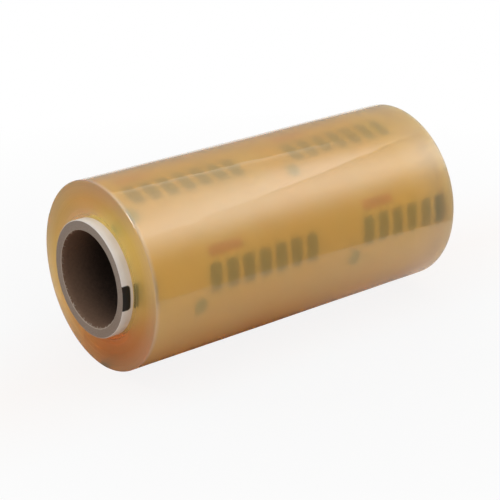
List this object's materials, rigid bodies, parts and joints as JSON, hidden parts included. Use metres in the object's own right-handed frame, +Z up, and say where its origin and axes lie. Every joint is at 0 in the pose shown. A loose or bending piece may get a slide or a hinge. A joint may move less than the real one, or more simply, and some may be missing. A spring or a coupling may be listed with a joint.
{
  "type": "stretch wrap roll",
  "caption": "Roll of clear golden stretch film wound on a cardboard tube that stands out a little at both ends; lies on its side.",
  "frame": {"origin": "on the surface the roll lies on, under the middle of the roll", "axes": "+X along the tube, from the end that the picture shows to the far one; +Z up"},
  "size_m": [0.318, 0.149, 0.1483],
  "materials": {
    "film": "clear golden film wound tight, glossy, the tube shows through it",
    "core": "spiral-wound grey board with a white outer ply, matt"
  },
  "bodies": {
    "root": {"film": "film", "core": "core"}
  },
  "joints": []
}
